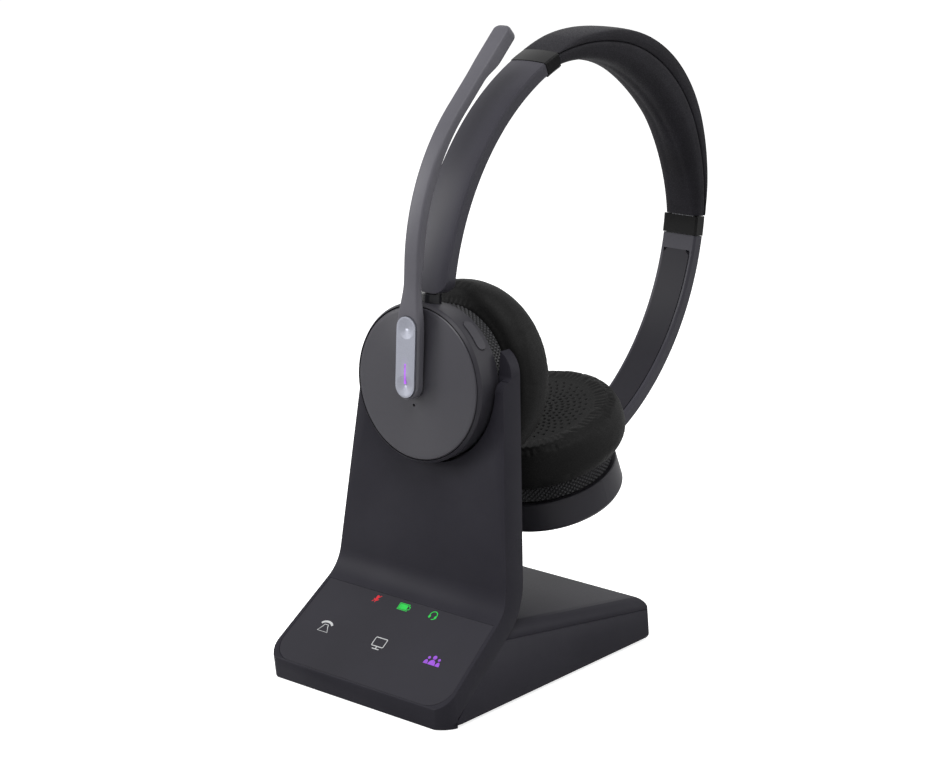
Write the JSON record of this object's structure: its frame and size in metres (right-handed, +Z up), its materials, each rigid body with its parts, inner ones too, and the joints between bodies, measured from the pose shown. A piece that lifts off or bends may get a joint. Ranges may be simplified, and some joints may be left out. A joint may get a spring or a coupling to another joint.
{
  "type": "wireless office headset on charging stand",
  "caption": "On-ear wireless headset with a boom microphone, docked by one ear cup on a bent charging stand with a sloped touch panel.",
  "frame": {"origin": "middle of the stand's footprint, on the underside of its rubber foot", "axes": "+Z up, the sloped touch panel faces -Y, +X to the right of someone who faces the panel"},
  "size_m": [0.076, 0.1771, 0.2027],
  "materials": {
    "shell_plastic": "fine satin moulding, dark grey",
    "panel_glass": "dark etched touch glass",
    "base_plastic": "fine satin moulding, dark grey",
    "plate_plastic": "spark-eroded moulding, near black",
    "foot_rubber": "soft matt rubber",
    "zinc_steel": "zinc-plated",
    "weight_steel": "plain pressed steel",
    "circuit_board": "solder-masked board",
    "contact_gold": "gold-plated contacts",
    "magnet_nickel": "nickel-plated magnet",
    "cap_plastic": "satin moulding with a faint metallic sheen",
    "rim_plastic": "satin moulding",
    "waist_rubber": "knurled soft-touch band",
    "inner_plastic": "plain moulding",
    "driver_metal": "pressed loudspeaker basket",
    "ear_leather": "fine-grained leatherette over foam",
    "key_plastic": "satin moulding",
    "boom_plastic": "satin moulding with a faint metallic sheen",
    "mic_foil": "microphone capsule",
    "pill_metal": "fine blasted silver",
    "light_guide": "frosted light guide, lit violet",
    "arm_plastic": "satin moulding with a faint metallic sheen",
    "cover_plastic": "satin moulding",
    "strip_steel": "brushed spring steel",
    "core_plastic": "tough springy moulding",
    "band_leather": "fine-grained leatherette skin",
    "pad_leather": "fine-grained leatherette over foam",
    "ring_gloss": "polished black",
    "battery_foil": "foil pouch cell"
  },
  "bodies": {
    "stand": {"front_shell": "shell_plastic", "touch_panel": "panel_glass", "base_housing": "base_plastic", "base_plate": "plate_plastic", "foot_pad": "foot_rubber", "base_screws": "zinc_steel", "ballast": "weight_steel", "base_board": "circuit_board", "power_inlet": "zinc_steel", "charge_pins": "contact_gold", "dock_magnet": "magnet_nickel"},
    "cup1": {"cup1_cap": "cap_plastic", "cup1_rim": "rim_plastic", "cup1_waist": "waist_rubber", "cup1_baffle": "inner_plastic", "cup1_driver": "driver_metal", "cup1_board": "circuit_board", "cup1_cushion": "ear_leather", "contact_pads": "contact_gold"},
    "rim_key": {"rim_button": "key_plastic"},
    "boom": {"boom_hub": "boom_plastic", "boom_arm": "boom_plastic", "mic_housing": "boom_plastic", "mic_capsule": "mic_foil", "boom_shaft": "zinc_steel", "boom_clip": "zinc_steel"},
    "call_key": {"call_button": "pill_metal", "call_light": "light_guide"},
    "arm1": {"arm1_shell": "arm_plastic", "arm1_cover": "cover_plastic", "arm1_strip": "strip_steel", "arm1_pivot": "inner_plastic"},
    "band": {"band_core": "core_plastic", "band_cover": "band_leather", "band_pad": "pad_leather", "band_rings": "ring_gloss"},
    "arm2": {"arm2_shell": "arm_plastic", "arm2_cover": "cover_plastic", "arm2_strip": "strip_steel", "arm2_pivot": "inner_plastic"},
    "cup2": {"cup2_cap": "cap_plastic", "cup2_rim": "rim_plastic", "cup2_waist": "waist_rubber", "cup2_baffle": "inner_plastic", "cup2_driver": "driver_metal", "cup2_battery": "battery_foil", "cup2_cushion": "ear_leather"}
  },
  "joints": [
    {"name": "headset_lift", "type": "slide", "parent": "stand", "child": "cup1", "axis": [0, 0.0436, 0.999], "range_m": [0, 0.045]},
    {"name": "rim_press", "type": "slide", "parent": "cup1", "child": "rim_key", "axis": [-0.7193, -0.0303, -0.694], "range_m": [0, 0.0004], "stiffness_N_per_m": 1500, "springref_m": -0.0006},
    {"name": "boom_turn", "type": "hinge", "parent": "cup1", "child": "boom", "pos_m": [0, -0.02126, 0.0963], "axis": [0, -0.999, 0.0436], "range_deg": [-120, 120]},
    {"name": "call_press", "type": "slide", "parent": "boom", "child": "call_key", "axis": [0, 0.999, -0.0436], "range_m": [0, 0.00035], "stiffness_N_per_m": 2000, "springref_m": -0.0006},
    {"name": "cup1_swivel", "type": "hinge", "parent": "cup1", "child": "arm1", "pos_m": [0, -0.01417, 0.12101], "axis": [0, 0.0436, 0.999], "range_deg": [-15, 15]},
    {"name": "slider1", "type": "slide", "parent": "arm1", "child": "band", "axis": [0, 0.9627, 0.2706], "range_m": [0, 0.015]},
    {"name": "slider2", "type": "slide", "parent": "band", "child": "arm2", "axis": [0, -0.0122, -0.9999], "range_m": [0, 0.015]},
    {"name": "cup2_swivel", "type": "hinge", "parent": "arm2", "child": "cup2", "pos_m": [0, 0.06742, 0.0584], "axis": [0, 0.9537, 0.3007], "range_deg": [-15, 15]}
  ]
}
